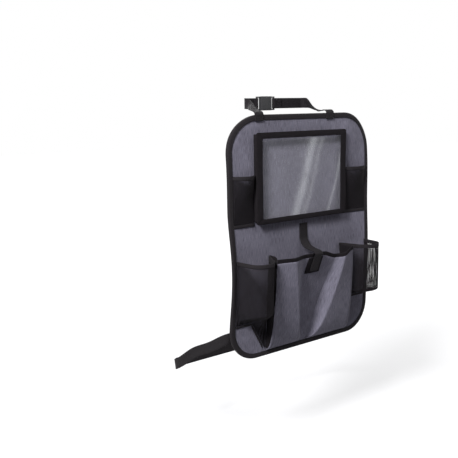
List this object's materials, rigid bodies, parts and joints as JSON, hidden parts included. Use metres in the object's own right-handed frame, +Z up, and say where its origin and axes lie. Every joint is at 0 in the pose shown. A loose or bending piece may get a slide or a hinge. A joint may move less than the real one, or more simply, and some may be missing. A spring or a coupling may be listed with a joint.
{
  "type": "car seat back organizer",
  "caption": "Grey cloth organizer hung on the back of a car seat, with a clear tablet pocket, net pockets, a deep centre pocket and buckled straps.",
  "frame": {"origin": "middle of the top strap where it lies across the front of the headrest posts", "axes": "+Z up, +Y towards the front of the seat, +X to the right as seen from the seat behind"},
  "size_m": [0.4942, 0.3154, 0.68],
  "materials": {
    "heather_cloth": "matt melange weave",
    "lining_cloth": "plain woven lining",
    "binding_tape": "ribbed tape",
    "black_cloth": "plain weave",
    "black_net": "fine knitted net",
    "black_webbing": "woven webbing",
    "touch_fastener": "hook and loop pile",
    "clear_film": "soft clear plastic film",
    "buckle_plastic": "satin moulded"
  },
  "bodies": {
    "root": {"front_panel": "heather_cloth", "back_lining": "lining_cloth", "edge_binding": "binding_tape", "tablet_frame": "black_cloth", "tablet_gusset": "black_cloth", "tablet_window": "clear_film", "upper_left_mesh": "black_net", "upper_left_hem": "binding_tape", "upper_left_tape": "binding_tape", "upper_right_mesh": "black_net", "upper_right_hem": "binding_tape", "upper_right_tape": "binding_tape", "lower_left_mesh": "black_net", "lower_left_hem": "binding_tape", "lower_left_tape": "binding_tape", "lower_right_mesh": "black_net", "lower_right_hem": "binding_tape", "lower_right_tape": "binding_tape", "centre_pocket_front": "heather_cloth", "centre_pocket_hem": "binding_tape", "centre_gusset_left": "black_cloth", "centre_gusset_right": "black_cloth", "closure_strap": "black_webbing", "closure_hook_patch": "touch_fastener", "closure_loop_patch": "touch_fastener", "top_strap_left": "black_webbing", "top_strap_right": "black_webbing", "top_buckle_socket": "buckle_plastic", "top_buckle_plug": "buckle_plastic", "bottom_strap_left": "black_webbing", "bottom_strap_right": "black_webbing", "bottom_buckle_socket": "buckle_plastic", "bottom_buckle_plug": "buckle_plastic"}
  },
  "joints": []
}
